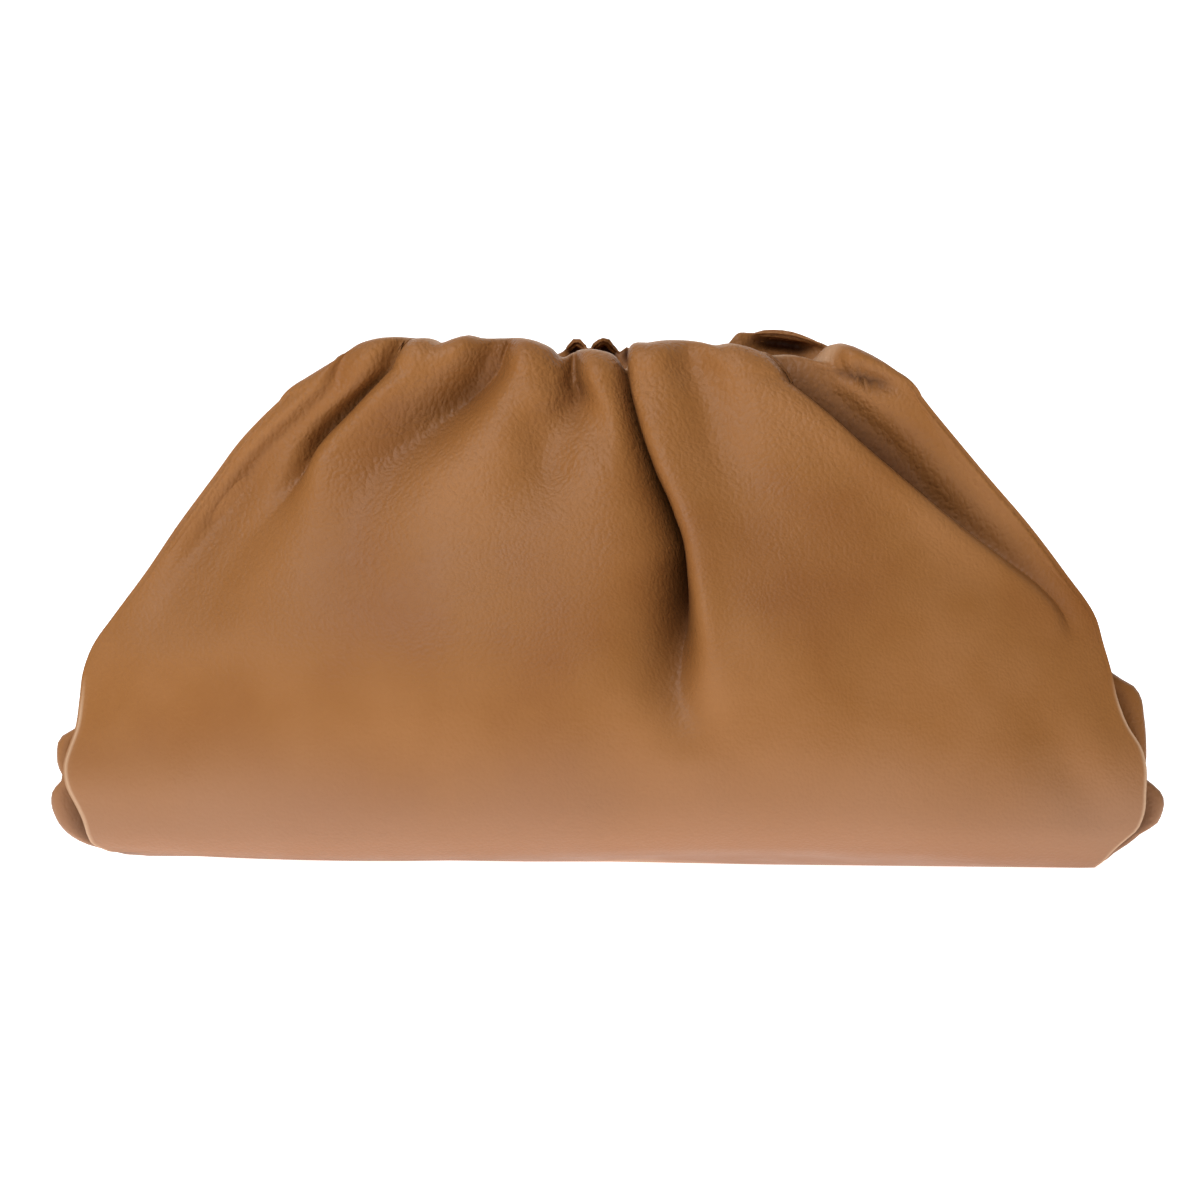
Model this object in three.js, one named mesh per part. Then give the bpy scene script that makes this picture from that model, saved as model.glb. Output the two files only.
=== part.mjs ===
// Gathered leather pouch clutch, in millimetres. +Z is up, the front faces -Y and +X is to the right of
// someone facing it. The origin is on the ground under the middle of the bag.
//
// One cut of soft leather makes the body. It lies flat underneath, swells at the belly, folds in at
// both ends and narrows to the mouth, where it is gathered: it rolls over a slim closure frame and
// hangs down inside as a flat hem. The closure frame is a closed ring of flat bar that stands in the
// roll, between the hem and the outer wall.
import * as THREE from "three";

// Overall sizes
const BAG_WIDTH = 380; // across the widest lobes at the lower ends
const BAG_HEIGHT = 180; // ground to the top of the rolled lip
const BAG_DEPTH = 150; // front to back at the belly
const LEATHER = 2; // wall of the leather
const GUSSET_FOLD = 33; // how far each end folds in between the front and the back

// The mouth
const LIP_LENGTH = 194; // outside length of the rolled lip
const MOUTH_LENGTH = 166; // length of the slot between the hems
const MOUTH_GAP = 10; // width of that slot, the mouth standing a little open
const ROLL_DEPTH = 17; // from the outside of the lip to the face of the hem
const ROLL_HEIGHT = 12; // rise of the roll above the wall
const HEM_DROP = 18; // how far the hem hangs below the start of the roll

// The closure frame
const FRAME_BAR = 3; // thickness of the flat bar
const FRAME_HEIGHT = 12; // its height
const FRAME_CORNER = 1.5; // radius of its corners
const FRAME_CLEARANCE = 0.3; // between the bar and the leather of the hem

// Mesh fineness
const COLUMNS_PER_LOBE = 5; // between two neighbouring folds
const COLUMNS_PER_END = 10; // across each folded end
const ROW_STEP = 17; // longest step between rows of the wall
const ROLL_ROWS = 5; // over the roll
const HEM_ROWS = 2; // down the hem
const GATHERING = 0.06; // how far the columns crowd towards the folds, as a share of their spacing
const CORNER_REACH = 3; // columns rounded to each side of a corner
const OUTSIDE_PASSES = 1; // of that rounding on the outside of the leather
const INSIDE_PASSES = 9; // and more of them on the inside, where a folded edge fills

// Shapes of curves, as powers
const SWELL_POWER = 2.4; // how squarely a panel swells between its corners
const INFOLD_POWER = 2.2; // how softly an end folds in
const FOLD_POWER = 1.3; // the cross-section of a fold
const EDGE_POWER = 12; // how late a fold fades at a corner
const CREST_POWER = 4; // how squarely a gather rises in the lip

// The lip, in shares of the roll's height and of half the lip's length
const END_RISE = 0.55; // rise of the roll at the two ends of the mouth
const CREASE_WIDTH = 0.05; // half width of the notch that a fold makes

const WALL_HEIGHT = BAG_HEIGHT - ROLL_HEIGHT;
const LIP_HALF_DEPTH = MOUTH_GAP / 2 + ROLL_DEPTH;

// How near the middle of the bag the outside of a fold may come. The leather there still passes the
// closure frame, and across a steep fold it takes a little more room than its thickness.
const SLANTED_LEATHER = 1.25 * LEATHER;
const FRAME_INSIDE = MOUTH_GAP / 2 + LEATHER + FRAME_CLEARANCE;
const DEEPEST_FOLD = FRAME_INSIDE + FRAME_BAR + FRAME_CLEARANCE + SLANTED_LEATHER;

// Turns rows of numbers into objects with the named columns.
function table(names, ...rows) {
  const keys = names.split(" ");
  return rows.map((row) => Object.fromEntries(keys.map((key, i) => [key, row[i]])));
}

// Level sections from the ground to the lip. height is a share of the wall's height. The next four
// columns place the corners of the front and back panels between the lip's end (0) and the full half
// width (1). The two depths run from the lip's (0) to the belly's (1). corner is the corners' depth as
// a share of the panel's, and infold the fold of each end as a share of the gusset fold.
const SECTIONS = table(
  "height frontLeft frontRight backLeft backRight frontDepth backDepth corner infold",
  [0.0, 0.52, 0.68, 0.6, 0.64, 0.45, 0.48, 0.6, 0.16],
  [0.024, 0.76, 0.8, 0.82, 0.79, 0.71, 0.73, 0.57, 0.08],
  [0.06, 0.87, 0.88, 0.93, 0.9, 0.85, 0.86, 0.54, 0.02],
  [0.113, 0.925, 0.93, 1.0, 1.0, 0.95, 0.95, 0.5, 0.0],
  [0.17, 0.957, 0.935, 0.96, 0.945, 0.99, 0.99, 0.48, 0.13],
  [0.22, 0.955, 0.93, 0.985, 0.95, 1.0, 1.0, 0.46, 0.08],
  [0.274, 0.917, 0.876, 0.93, 0.94, 1.0, 0.99, 0.44, 0.12],
  [0.345, 0.895, 0.828, 0.86, 0.88, 0.97, 0.96, 0.42, 0.34],
  [0.44, 0.833, 0.77, 0.76, 0.73, 0.9, 0.88, 0.4, 0.76],
  [0.56, 0.667, 0.645, 0.61, 0.57, 0.755, 0.74, 0.38, 1.0],
  [0.69, 0.5, 0.462, 0.46, 0.43, 0.566, 0.56, 0.38, 0.9],
  [0.81, 0.349, 0.29, 0.32, 0.27, 0.37, 0.37, 0.42, 0.58],
  [0.905, 0.202, 0.151, 0.18, 0.13, 0.19, 0.19, 0.5, 0.24],
  [1.0, 0.0, 0.0, 0.0, 0.0, 0.0, 0.0, 0.66, 0.06],
);

// Heights at which each fold below states its place and depth, as shares of the wall's height.
const STATIONS = { lip: 1.0, shoulder: 0.905, waist: 0.665, hip: 0.39, ground: 0.0 };

// The folds that run down from the gathers, left to right on each panel. xLip to xGround are places
// across the panel, -1 at its left corner and 1 at its right one. dLip to dHip are depths as shares of
// the roll's depth. left and right are how far the fold spreads to each side, as shares of the roll's
// depth, and lean is how far the steeper side hangs over the crease, as a share of the fold's depth.
// dip lowers the lip at the crease and crest raises the gather to the right of it, as shares of the
// roll's height.
const FOLD_COLUMNS =
  "xLip xShoulder xWaist xHip xGround dLip dShoulder dWaist dHip left right lean dip crest";
const FRONT_FOLDS = table(
  FOLD_COLUMNS,
  [-0.82, -0.85, -0.86, -0.82, -0.8, 0.06, 0.2, 0.34, 0.12, 0.6, 0.6, 0.0, 0.05, 0.0],
  [-0.61, -0.7, -0.73, -0.68, -0.66, 0.3, 0.55, 0.24, 0.05, 0.7, 0.22, 0.35, 0.15, 0.1],
  [-0.38, -0.53, -0.58, -0.52, -0.48, 0.36, 0.56, 0.12, 0.0, 0.9, 0.35, 0.1, 0.1, 0.0],
  [-0.175, -0.11, -0.16, -0.15, -0.16, 0.45, 0.44, 0.1, 0.0, 0.4, 0.35, 0.0, 0.45, -0.25],
  [0.076, 0.106, 0.2, 0.165, 0.17, 0.52, 0.64, 0.9, 0.42, 0.7, 0.2, 0.4, 0.75, 0.1],
  [0.227, 0.306, 0.36, 0.39, 0.4, 0.14, 0.22, 0.14, 0.0, 0.35, 0.35, 0.0, 0.1, -0.05],
  [0.495, 0.66, 0.79, 0.77, 0.76, 0.34, 0.66, 0.56, 0.08, 0.22, 1.2, -0.4, 0.35, -0.25],
  [0.82, 0.85, 0.88, 0.87, 0.86, 0.34, 0.14, 0.0, 0.0, 0.3, 0.4, 0.0, 0.5, -0.3],
);
const BACK_FOLDS = table(
  FOLD_COLUMNS,
  [-0.78, -0.81, -0.84, -0.82, -0.82, 0.3, 0.5, 0.34, 0.1, 0.7, 0.3, 0.25, 0.3, 0.05],
  [-0.47, -0.55, -0.6, -0.56, -0.55, 0.4, 0.5, 0.2, 0.0, 0.5, 0.5, 0.0, 0.3, 0.15],
  [-0.2, -0.25, -0.33, -0.32, -0.3, 0.45, 0.7, 0.66, 0.2, 0.25, 0.7, -0.35, 0.5, 0.1],
  [0.04, 0.05, 0.02, 0.03, 0.04, 0.3, 0.3, 0.05, 0.0, 0.4, 0.4, 0.0, 0.25, 0.15],
  [0.3, 0.36, 0.44, 0.4, 0.4, 0.45, 0.6, 0.4, 0.1, 0.6, 0.25, 0.35, 0.5, 0.2],
  [0.56, 0.62, 0.68, 0.66, 0.65, 0.4, 0.45, 0.15, 0.0, 0.5, 0.5, 0.0, 0.4, 0.05],
  [0.82, 0.86, 0.88, 0.86, 0.86, 0.3, 0.4, 0.25, 0.1, 0.3, 0.7, -0.25, 0.2, 0.0],
);

// How a fold widens as it runs down.
const SPREAD = { lip: 0.6, shoulder: 1.0, waist: 1.5, hip: 1.8, ground: 2.0 };

// Soft dents in the panels: the place across, the height as a share of the wall's, the depth as a share
// of the roll's depth, and the half width and half height as shares of the bag's width and height.
const DENT_COLUMNS = "place height depth width rise";
const FRONT_DENTS = table(
  DENT_COLUMNS,
  [0.02, 0.2, 0.2, 0.05, 0.14],
  [-0.55, 0.3, 0.12, 0.07, 0.2],
  [0.84, 0.2, 0.22, 0.05, 0.16],
  [-0.2, 0.5, 0.1, 0.05, 0.2],
);
const BACK_DENTS = table(
  DENT_COLUMNS,
  [-0.6, 0.22, 0.2, 0.06, 0.16],
  [0.12, 0.3, 0.16, 0.07, 0.2],
  [0.7, 0.24, 0.2, 0.05, 0.14],
);

const lerp = THREE.MathUtils.lerp;

// The value at x of a smooth curve through the points (xs, ys), with xs rising.
function smoothThrough(xs, ys, x) {
  const last = xs.length - 1;
  const slope = (i) => {
    const a = Math.max(i - 1, 0);
    const b = Math.min(i + 1, last);
    return (ys[b] - ys[a]) / (xs[b] - xs[a]);
  };
  let i = xs.findIndex((value) => value > x) - 1;
  if (i < 0) i = x < xs[0] ? 0 : last - 1;
  const span = xs[i + 1] - xs[i];
  const t = THREE.MathUtils.clamp((x - xs[i]) / span, 0, 1);
  const rise = ys[i + 1] - ys[i];
  const bend = slope(i) * span * (1 - t) - slope(i + 1) * span * t + rise * (2 * t - 1);
  return lerp(ys[i], ys[i + 1], t) + t * (1 - t) * bend;
}

const SECTION_HEIGHTS = SECTIONS.map((row) => row.height);
const sectionValue = (key, height) =>
  smoothThrough(SECTION_HEIGHTS, SECTIONS.map((row) => row[key]), height);

const STATION_NAMES = ["ground", "hip", "waist", "shoulder", "lip"];
const STATION_HEIGHTS = STATION_NAMES.map((name) => STATIONS[name]);
const SPREADS = STATION_NAMES.map((name) => SPREAD[name]);
const foldSpread = (height) => ROLL_DEPTH * smoothThrough(STATION_HEIGHTS, SPREADS, height);

function foldPlace(fold, height) {
  const places = [fold.xGround, fold.xHip, fold.xWaist, fold.xShoulder, fold.xLip];
  return smoothThrough(STATION_HEIGHTS, places, height);
}

function foldDepth(fold, height) {
  const depths = [0, fold.dHip, fold.dWaist, fold.dShoulder, fold.dLip];
  return ROLL_DEPTH * Math.max(0, smoothThrough(STATION_HEIGHTS, depths, height));
}

// One level section of a panel, in millimetres: how far out its first and last corners are, and its
// depths. The front runs from left to right and the back from right to left.
function panelSize(side, height) {
  const out = (key) => lerp(LIP_LENGTH / 2, BAG_WIDTH / 2, sectionValue(key, height));
  const ends = [out(side + "Left"), out(side + "Right")];
  if (side === "back") ends.reverse();
  const depth = lerp(LIP_HALF_DEPTH, BAG_DEPTH / 2, sectionValue(side + "Depth", height));
  return { first: ends[0], last: ends[1], depth, cornerDepth: depth * sectionValue("corner", height) };
}

// Places across a panel at one height, -1 to 1: every fold has a column, and the others gather close to
// the folds.
function placesAcross(folds, height) {
  const stops = [-1, ...folds.map((fold) => foldPlace(fold, height)), 1];
  const places = [];
  for (let i = 0; i + 1 < stops.length; i++) {
    for (let k = 0; k < COLUMNS_PER_LOBE; k++) {
      const t = k / COLUMNS_PER_LOBE;
      const crowded = t - GATHERING * Math.sin(2 * Math.PI * t);
      places.push(lerp(stops[i], stops[i + 1], crowded));
    }
  }
  return places;
}

// How deep a fold is at a distance across from its crease, as a share of its full depth.
const foldProfile = (distance, spread) => Math.exp(-Math.pow(Math.abs(distance) / spread, FOLD_POWER));

const PANELS = {
  front: { folds: FRONT_FOLDS, dents: FRONT_DENTS },
  back: { folds: BACK_FOLDS, dents: BACK_DENTS },
};
const FRONT_COLUMNS = (FRONT_FOLDS.length + 1) * COLUMNS_PER_LOBE;
const BACK_COLUMNS = (BACK_FOLDS.length + 1) * COLUMNS_PER_LOBE;
const BACK_START = FRONT_COLUMNS + COLUMNS_PER_END;
const CORNERS = [0, FRONT_COLUMNS, BACK_START, BACK_START + BACK_COLUMNS];

// A point of one panel at one height: x across, and out as the distance from the middle of the bag.
function panelPoint(side, place, height) {
  const { folds, dents } = PANELS[side];
  const size = panelSize(side, height);
  const half = (p) => (p < 0 ? size.first : size.last) * p;
  let x = half(place);
  const swell = 1 - Math.pow(Math.abs(place), SWELL_POWER);
  let out = lerp(size.cornerDepth, size.depth, swell);
  for (const fold of folds) {
    const distance = half(place) - half(foldPlace(fold, height));
    const depth = foldDepth(fold, height);
    const share = distance < 0 ? fold.left : fold.right;
    const spread = share * foldSpread(height);
    const insideEdge = 1 - Math.pow(Math.abs(place), EDGE_POWER);
    out -= depth * insideEdge * foldProfile(distance, spread);
    if (fold.lean * distance > 0) {
      const reach = Math.abs(distance) / spread;
      x -= fold.lean * depth * reach * Math.exp(1 - reach);
    }
  }
  for (const dent of dents) {
    const u = (place - dent.place) / (2 * dent.width);
    const v = (height - dent.height) / dent.rise;
    out -= ROLL_DEPTH * dent.depth * Math.exp(-u * u - v * v);
  }
  return { x, out: Math.max(out, DEEPEST_FOLD) };
}

// The loop of points round the outside of the bag at one height of the wall, seen from above and
// anticlockwise from the front left corner: front, right end, back, left end.
function wallLoop(height) {
  const z = height * WALL_HEIGHT;
  const front = placesAcross(FRONT_FOLDS, height).map((place) => {
    const p = panelPoint("front", place, height);
    return new THREE.Vector3(p.x, -p.out, z);
  });
  const back = placesAcross(BACK_FOLDS, height).map((place) => {
    const p = panelPoint("back", place, height);
    return new THREE.Vector3(-p.x, p.out, z);
  });
  const f = panelSize("front", height);
  const b = panelSize("back", height);
  const infold = GUSSET_FOLD * sectionValue("infold", height);
  const end = (from, to) => {
    const points = [];
    for (let k = 0; k < COLUMNS_PER_END; k++) {
      const t = k / COLUMNS_PER_END;
      const x = lerp(from.x, to.x, t);
      const fold = infold * (1 - Math.pow(Math.abs(2 * t - 1), INFOLD_POWER));
      points.push(new THREE.Vector3(x - Math.sign(x) * fold, lerp(from.y, to.y, t), z));
    }
    return points;
  };
  const frontLeft = new THREE.Vector3(-f.first, -f.cornerDepth, z);
  const frontRight = new THREE.Vector3(f.last, -f.cornerDepth, z);
  const backRight = new THREE.Vector3(b.first, b.cornerDepth, z);
  const backLeft = new THREE.Vector3(-b.last, b.cornerDepth, z);
  const loop = [...front, ...end(frontRight, backRight), ...back, ...end(backLeft, frontLeft)];
  return roundCorners(loop, OUTSIDE_PASSES);
}

// Rounds the four corners of a loop.
function roundCorners(loop, passes) {
  const count = loop.length;
  const near = new Set();
  for (const corner of CORNERS) {
    for (let step = -CORNER_REACH; step <= CORNER_REACH; step++) near.add((corner + step + count) % count);
  }
  let rounded = loop;
  for (let pass = 0; pass < passes; pass++) {
    const from = rounded;
    rounded = from.map((point, i) => {
      if (!near.has(i)) return point;
      const neighbours = from[(i + count - 1) % count].clone().add(from[(i + 1) % count]);
      return point.clone().multiplyScalar(2).add(neighbours).divideScalar(4);
    });
  }
  return rounded;
}

// The loop of the hem's face round the slot of the mouth, column by column with the wall's.
function hemLoop(z) {
  const halfLength = MOUTH_LENGTH / 2;
  const halfGap = MOUTH_GAP / 2;
  const front = placesAcross(FRONT_FOLDS, 1).map((p) => new THREE.Vector3(p * halfLength, -halfGap, z));
  const back = placesAcross(BACK_FOLDS, 1).map((p) => new THREE.Vector3(-p * halfLength, halfGap, z));
  const end = (sign) => {
    const points = [];
    for (let k = 0; k < COLUMNS_PER_END; k++) {
      const across = lerp(-halfGap, halfGap, k / COLUMNS_PER_END);
      points.push(new THREE.Vector3(sign * halfLength, sign * across, z));
    }
    return points;
  };
  return [...front, ...end(1), ...back, ...end(-1)];
}

// How far the roll rises above the wall at each column: lower at a crease, higher or lower over each
// gather.
function rollRises() {
  const across = (folds) =>
    placesAcross(folds, 1).map((place) => {
      let rise = 1;
      folds.forEach((fold, i) => {
        const next = i + 1 < folds.length ? folds[i + 1].xLip : 1;
        const middle = (fold.xLip + next) / 2;
        const width = (next - fold.xLip) / 2;
        rise -= fold.dip * Math.exp(-Math.pow((place - fold.xLip) / CREASE_WIDTH, 2));
        rise += fold.crest * Math.exp(-Math.pow((place - middle) / width, CREST_POWER));
      });
      return rise * ROLL_HEIGHT;
    });
  const end = new Array(COLUMNS_PER_END).fill(END_RISE * ROLL_HEIGHT);
  return [...across(FRONT_FOLDS), ...end, ...across(BACK_FOLDS), ...end];
}

// Heights of the wall's rows, as shares: every section, with steps between those that are far apart.
function wallHeights() {
  const heights = [];
  for (let i = 0; i + 1 < SECTIONS.length; i++) {
    const low = SECTIONS[i].height;
    const high = SECTIONS[i + 1].height;
    const steps = Math.ceil(((high - low) * WALL_HEIGHT) / ROW_STEP);
    for (let k = 0; k < steps; k++) heights.push(lerp(low, high, k / steps));
  }
  return [...heights, 1];
}

// The outside of the leather: loops from the ground up the wall, over the roll and down the hem.
function outerLoops() {
  const loops = wallHeights().map(wallLoop);
  const lip = loops.at(-1);
  const hemTop = hemLoop(WALL_HEIGHT);
  const rises = rollRises();
  for (let row = 1; row < ROLL_ROWS; row++) {
    const turn = (Math.PI * row) / ROLL_ROWS;
    loops.push(
      lip.map((outer, i) => {
        const point = outer.clone().lerp(hemTop[i], (1 - Math.cos(turn)) / 2);
        point.z += rises[i] * Math.sin(turn);
        return point;
      }),
    );
  }
  for (let row = 0; row <= HEM_ROWS; row++) loops.push(hemLoop(WALL_HEIGHT - (HEM_DROP * row) / HEM_ROWS));
  return loops;
}

// Triangles between neighbouring loops of equal length, facing out where the loops run anticlockwise
// and upwards.
function stripsBetween(rows, columns) {
  const triangles = [];
  for (let r = 0; r + 1 < rows; r++) {
    for (let c = 0; c < columns; c++) {
      const a = r * columns + c;
      const b = r * columns + ((c + 1) % columns);
      triangles.push([a, b, b + columns], [a, b + columns, a + columns]);
    }
  }
  return triangles;
}

// A normal at each vertex, each face counting by its angle there.
function vertexNormals(points, triangles) {
  const normals = points.map(() => new THREE.Vector3());
  for (const triangle of triangles) {
    const [a, b, c] = triangle.map((i) => points[i]);
    const face = b.clone().sub(a).cross(c.clone().sub(a));
    if (face.lengthSq() === 0) continue;
    face.normalize();
    triangle.forEach((index, corner) => {
      const here = points[index];
      const one = points[triangle[(corner + 1) % 3]].clone().sub(here);
      const two = points[triangle[(corner + 2) % 3]].clone().sub(here);
      normals[index].addScaledVector(face, one.angleTo(two));
    });
  }
  return normals.map((normal) => normal.normalize());
}

// The leather as one closed skin: the outside, the same loops again a wall's thickness in, the flat
// underside inside and out, and the cut edge of the hem.
function leatherBody() {
  const loops = outerLoops();
  const columns = loops[0].length;
  const outside = loops.flat();
  const strips = stripsBetween(loops.length, columns);
  const wallRows = wallHeights().length;
  const core = loops.flatMap((loop, row) => (row < wallRows ? roundCorners(loop, INSIDE_PASSES) : loop));
  const normals = vertexNormals(core, strips);
  const inside = core.map((point, i) => {
    const inner = point.clone().addScaledVector(normals[i], -LEATHER);
    if (i < columns) {
      const level = new THREE.Vector2(normals[i].x, normals[i].y).normalize();
      inner.set(point.x - level.x * LEATHER, point.y - level.y * LEATHER, LEATHER);
    }
    return inner;
  });
  const count = outside.length;
  const triangles = [...strips, ...strips.map(([a, b, c]) => [c + count, b + count, a + count])];
  const base = loops[0].map((p) => new THREE.Vector2(p.x, p.y));
  for (const [a, b, c] of THREE.ShapeUtils.triangulateShape(base, [])) triangles.push([c, b, a]);
  const floor = inside.slice(0, columns).map((p) => new THREE.Vector2(p.x, p.y));
  for (const [a, b, c] of THREE.ShapeUtils.triangulateShape(floor, [])) {
    triangles.push([a + count, b + count, c + count]);
  }
  for (let c = 0; c < columns; c++) {
    const here = count - columns + c;
    const next = count - columns + ((c + 1) % columns);
    triangles.push([here, next, next + count], [here, next + count, here + count]);
  }
  return solid([...outside, ...inside], triangles);
}

function solid(points, triangles) {
  const geometry = new THREE.BufferGeometry();
  const coordinates = points.flatMap((p) => [p.x, p.y, p.z]);
  geometry.setAttribute("position", new THREE.Float32BufferAttribute(coordinates, 3));
  geometry.setIndex(triangles.flat());
  geometry.computeVertexNormals();
  return geometry;
}

// A rectangle with round corners, centred on the origin.
function roundedRectangle(target, halfLength, halfWidth, radius) {
  target.moveTo(halfLength - radius, -halfWidth);
  target.absarc(halfLength - radius, radius - halfWidth, radius, -Math.PI / 2, 0);
  target.absarc(halfLength - radius, halfWidth - radius, radius, 0, Math.PI / 2);
  target.absarc(radius - halfLength, halfWidth - radius, radius, Math.PI / 2, Math.PI);
  target.absarc(radius - halfLength, radius - halfWidth, radius, Math.PI, Math.PI * 1.5);
  target.closePath();
  return target;
}

// The closure frame: a flat bar round the hem, clear of the leather by the frame's clearance.
function closureFrame() {
  const gap = LEATHER + FRAME_CLEARANCE;
  const halfLength = MOUTH_LENGTH / 2 + gap;
  const halfWidth = MOUTH_GAP / 2 + gap;
  const outline = roundedRectangle(
    new THREE.Shape(),
    halfLength + FRAME_BAR,
    halfWidth + FRAME_BAR,
    FRAME_CORNER + FRAME_BAR,
  );
  outline.holes.push(roundedRectangle(new THREE.Path(), halfLength, halfWidth, FRAME_CORNER));
  return new THREE.ExtrudeGeometry(outline, { depth: FRAME_HEIGHT, bevelEnabled: false, curveSegments: 4 });
}

const leather = new THREE.MeshStandardMaterial({ color: 0xa9713f, roughness: 0.5, metalness: 0 });
const steel = new THREE.MeshStandardMaterial({ color: 0x9a9a9c, roughness: 0.35, metalness: 1 });

const body = new THREE.Mesh(leatherBody(), leather);
body.name = "leather_body";

const frame = new THREE.Mesh(closureFrame(), steel);
frame.name = "closure_frame";
frame.position.z = WALL_HEIGHT - HEM_DROP + FRAME_CLEARANCE;

const pouch = new THREE.Group();
pouch.add(body, frame);

// The folds pull the outline a little to one side, so the bag is moved to stand with its middle over
// the origin.
body.geometry.computeBoundingBox();
const middle = body.geometry.boundingBox.getCenter(new THREE.Vector3());
pouch.position.set(-middle.x, -middle.y, 0);

export default pouch;
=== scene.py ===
# %% [markdown]
# # A gathered leather pouch
# The object is a soft clutch bag. One cut of tan calf leather wraps the front, the underside, the back
# and the folded-in ends, and at the mouth it is gathered over a hidden metal frame. This lesson builds
# its visible skin in the same place and at the same size as the measured solids, which come in first and
# stay where they are. Lengths of the bag and the camera are in millimetres, times MM where they meet
# Blender. Lengths in materials, lights and the white surroundings are in metres, as Blender takes them. The
# axes are those of the solids: X to the right, Y away from the viewer and Z up, with the origin on the
# ground under the middle of the bag.

import math

import bpy
import numpy as np
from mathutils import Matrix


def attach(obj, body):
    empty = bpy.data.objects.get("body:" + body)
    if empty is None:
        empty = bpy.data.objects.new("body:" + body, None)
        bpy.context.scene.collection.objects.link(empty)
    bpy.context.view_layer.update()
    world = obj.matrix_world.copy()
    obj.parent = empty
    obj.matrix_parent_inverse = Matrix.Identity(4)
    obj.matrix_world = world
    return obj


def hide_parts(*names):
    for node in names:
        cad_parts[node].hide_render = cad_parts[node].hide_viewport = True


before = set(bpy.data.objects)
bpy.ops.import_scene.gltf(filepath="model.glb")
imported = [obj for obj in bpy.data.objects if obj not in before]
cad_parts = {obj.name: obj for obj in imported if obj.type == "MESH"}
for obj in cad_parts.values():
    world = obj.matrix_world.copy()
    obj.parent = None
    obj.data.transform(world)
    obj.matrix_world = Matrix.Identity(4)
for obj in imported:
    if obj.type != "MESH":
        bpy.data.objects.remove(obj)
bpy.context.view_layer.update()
MM = 0.001

# %% [markdown]
# ## Level sections
# A soft bag has no straight line that could be drawn and extruded. What can be measured is how wide and
# how deep it is at each height, so the skin is lofted through level sections. A smooth curve through each
# column of the table gives every height in between. A sculpted mesh would also do, but a table can be
# compared with the photo height by height and changed in one place.

# %% Table of sections
# The front panel's left and right folded edges, the back panel's edges, the depth of both panels at their
# middle and at their edges, and how far each end folds in between them.
SECTION_NAMES = "z left right back_left back_right depth back_depth edge_depth infold"
SECTION_ROWS = [
    (0, 169, 165, 156, 152, 44, 46, 26, 2),
    (2, 173.5, 167.4, 166, 160, 51, 53, 29, 1),
    (5.5, 175.5, 170.4, 174, 168, 57, 60, 32, 1),
    (9.6, 176.5, 174.6, 177, 174, 61.5, 64.5, 34, 1),
    (12.7, 177.2, 178.2, 179, 177, 64, 67, 35, 2),
    (18, 179.2, 180.8, 181, 180, 67.5, 70, 36, 4),
    (26.7, 182.8, 181.6, 182, 181, 71.3, 73, 37, 6),
    (35, 183.6, 181.7, 182, 181, 73.8, 74.8, 36, 8),
    (41, 182, 180.2, 181, 180, 74.8, 74.8, 35, 9),
    (48, 179.6, 175.9, 179, 178, 75, 74.4, 34, 11),
    (57, 178.4, 172.4, 176, 175, 74.2, 73, 32, 14),
    (67, 177.2, 170.2, 170, 170, 72, 70.5, 30, 18),
    (76, 173.8, 167.7, 163, 163, 69, 67.3, 28, 23),
    (85, 167.5, 165.2, 156, 155, 65.3, 63.8, 26, 28),
    (100, 156.5, 155, 145, 143, 58, 57, 23, 32),
    (116, 145.8, 143, 134, 131, 50, 49.5, 20, 33),
    (133, 133.3, 128.5, 122, 118, 41.5, 41.5, 18, 29),
    (145, 124.4, 118.5, 114, 110, 35.5, 35.5, 17, 22),
    (156, 113.8, 109.5, 106, 103, 29.5, 29.5, 16, 12),
    (168, 100, 100.5, 97, 98, 22.5, 22.5, 14.5, 2),
]
WALL_TOP = 168


def columns_of(names, rows):
    """The columns of a table, by name, each as an array."""
    values = np.array(rows, dtype=float)
    return {name: values[:, i] for i, name in enumerate(names.split())}


SECTIONS = columns_of(SECTION_NAMES, SECTION_ROWS)


def smooth(xs, ys, x):
    """A smooth curve through the points (xs, ys), level beyond both ends."""
    xs, ys = np.asarray(xs, dtype=float), np.asarray(ys, dtype=float)
    x = np.clip(x, xs[0], xs[-1])
    i = np.clip(np.searchsorted(xs, x, side="right") - 1, 0, len(xs) - 2)
    slopes = np.gradient(ys, xs)
    span = xs[i + 1] - xs[i]
    t = (x - xs[i]) / span
    rise = ys[i + 1] - ys[i]
    bend = (1 - t) * (slopes[i] * span - rise) + t * (rise - slopes[i + 1] * span)
    return ys[i] + t * rise + t * (1 - t) * bend


def section(name, z):
    return smooth(SECTIONS["z"], SECTIONS[name], z)


print("sections", len(SECTION_ROWS), "widest", 2 * SECTIONS["back_left"].max(), "mm")

# %% [markdown]
# ## Folds
# The gathers in the lip send folds down the panels. Each fold is a crease line with two banks. On the
# real bag one bank is often steep, or even rolls over the crease and hides it, and the other slopes away
# softly. So each fold is a short table down its own path: where it is, how deep, how far each bank
# spreads, how far the steep bank leans over and how high that bank is rounded up. Painted shadows alone
# would look right from one side only.

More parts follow.
